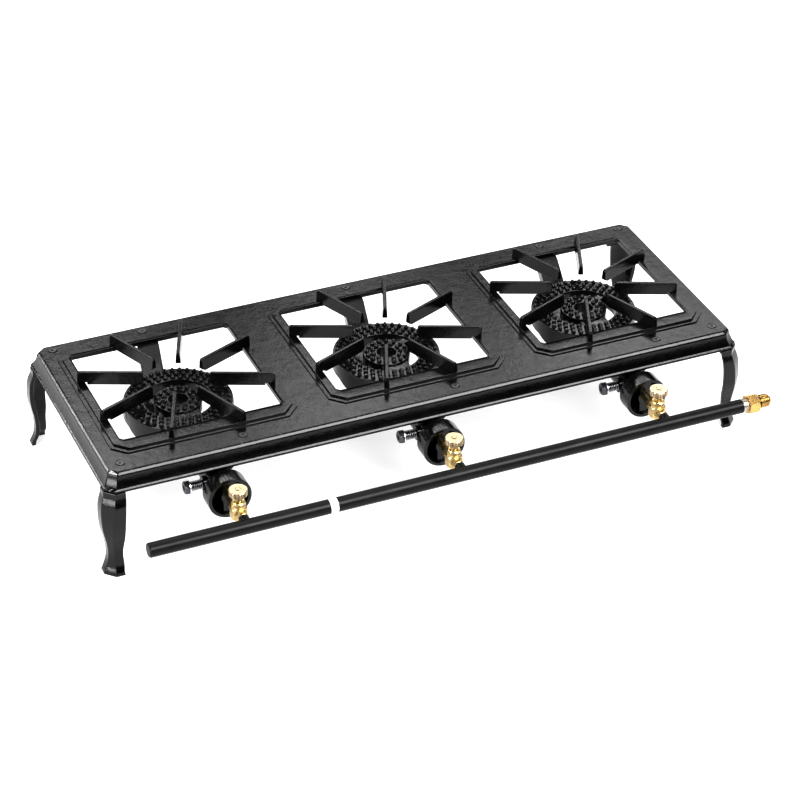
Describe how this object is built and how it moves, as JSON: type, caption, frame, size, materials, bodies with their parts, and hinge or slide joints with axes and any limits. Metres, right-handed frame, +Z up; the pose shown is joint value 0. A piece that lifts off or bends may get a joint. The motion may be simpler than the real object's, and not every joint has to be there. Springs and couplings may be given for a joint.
{
  "type": "gas stove",
  "caption": "Low cast-iron gas stove: long flanged top with square openings, radial pot supports, ring burners, curved legs and a front gas manifold with brass valves.",
  "frame": {"origin": "middle of the bounding box's bottom face, on the floor", "axes": "+Z up, +X along the long side towards the gas inlet, -Y towards the valves at the front"},
  "size_m": [0.852, 0.4079, 0.1565],
  "materials": {
    "enamel": "gloss black enamel over cast iron",
    "burner_iron": "satin black enamel over cast iron",
    "tube_paint": "satin black paint",
    "black_steel": "black oxide",
    "bolt_steel": "dark machined steel",
    "zinc_steel": "zinc plated",
    "spring_steel": "drawn spring wire",
    "bare_steel": "bare turned steel",
    "brass": "machined brass",
    "seal_rubber": "matt",
    "label": "plain white band, no print"
  },
  "bodies": {
    "stove": {"top_frame": "enamel", "leg_front_left": "enamel", "leg_front_right": "enamel", "leg_back_left": "enamel", "leg_back_right": "enamel", "leg_screws": "black_steel", "leg_nuts": "black_steel", "burner_screws": "black_steel", "burner_nuts": "black_steel", "manifold_tube": "tube_paint", "manifold_end_plug": "tube_paint", "manifold_sockets": "tube_paint", "manifold_label": "label", "inlet_nipple": "bare_steel", "inlet_fitting": "brass", "burner_left": "burner_iron", "pot_supports_left": "enamel", "adjuster_washer_left": "zinc_steel", "adjuster_spring_left": "spring_steel", "valve_body_left": "brass", "bonnet_nut_left": "brass", "stem_seal_left": "seal_rubber", "orifice_spud_left": "brass", "burner_middle": "burner_iron", "pot_supports_middle": "enamel", "adjuster_washer_middle": "zinc_steel", "adjuster_spring_middle": "spring_steel", "valve_body_middle": "brass", "bonnet_nut_middle": "brass", "stem_seal_middle": "seal_rubber", "orifice_spud_middle": "brass", "burner_right": "burner_iron", "pot_supports_right": "enamel", "adjuster_washer_right": "zinc_steel", "adjuster_spring_right": "spring_steel", "valve_body_right": "brass", "bonnet_nut_right": "brass", "stem_seal_right": "seal_rubber", "orifice_spud_right": "brass"},
    "knob_left": {"valve_stem_left": "brass", "knob_left": "brass", "knob_screw_left": "brass"},
    "adjuster_left": {"adjuster_bolt_left": "bolt_steel"},
    "knob_middle": {"valve_stem_middle": "brass", "knob_middle": "brass", "knob_screw_middle": "brass"},
    "adjuster_middle": {"adjuster_bolt_middle": "bolt_steel"},
    "knob_right": {"valve_stem_right": "brass", "knob_right": "brass", "knob_screw_right": "brass"},
    "adjuster_right": {"adjuster_bolt_right": "bolt_steel"}
  },
  "joints": [
    {"name": "knob_turn_left", "type": "hinge", "parent": "stove", "child": "knob_left", "pos_m": [-0.2765, -0.1597, 0.122], "axis": [0, 0, 1], "range_deg": [0, 540]},
    {"name": "adjuster_turn_left", "type": "hinge", "parent": "stove", "child": "adjuster_left", "pos_m": [-0.32, -0.0932, 0.0905], "axis": [1, 0, 0], "range_deg": [-360, 360]},
    {"name": "knob_turn_middle", "type": "hinge", "parent": "stove", "child": "knob_middle", "pos_m": [0, -0.1597, 0.122], "axis": [0, 0, 1], "range_deg": [0, 540]},
    {"name": "adjuster_turn_middle", "type": "hinge", "parent": "stove", "child": "adjuster_middle", "pos_m": [-0.0435, -0.0932, 0.0905], "axis": [1, 0, 0], "range_deg": [-360, 360]},
    {"name": "knob_turn_right", "type": "hinge", "parent": "stove", "child": "knob_right", "pos_m": [0.2765, -0.1597, 0.122], "axis": [0, 0, 1], "range_deg": [0, 540]},
    {"name": "adjuster_turn_right", "type": "hinge", "parent": "stove", "child": "adjuster_right", "pos_m": [0.233, -0.0932, 0.0905], "axis": [1, 0, 0], "range_deg": [-360, 360]}
  ]
}
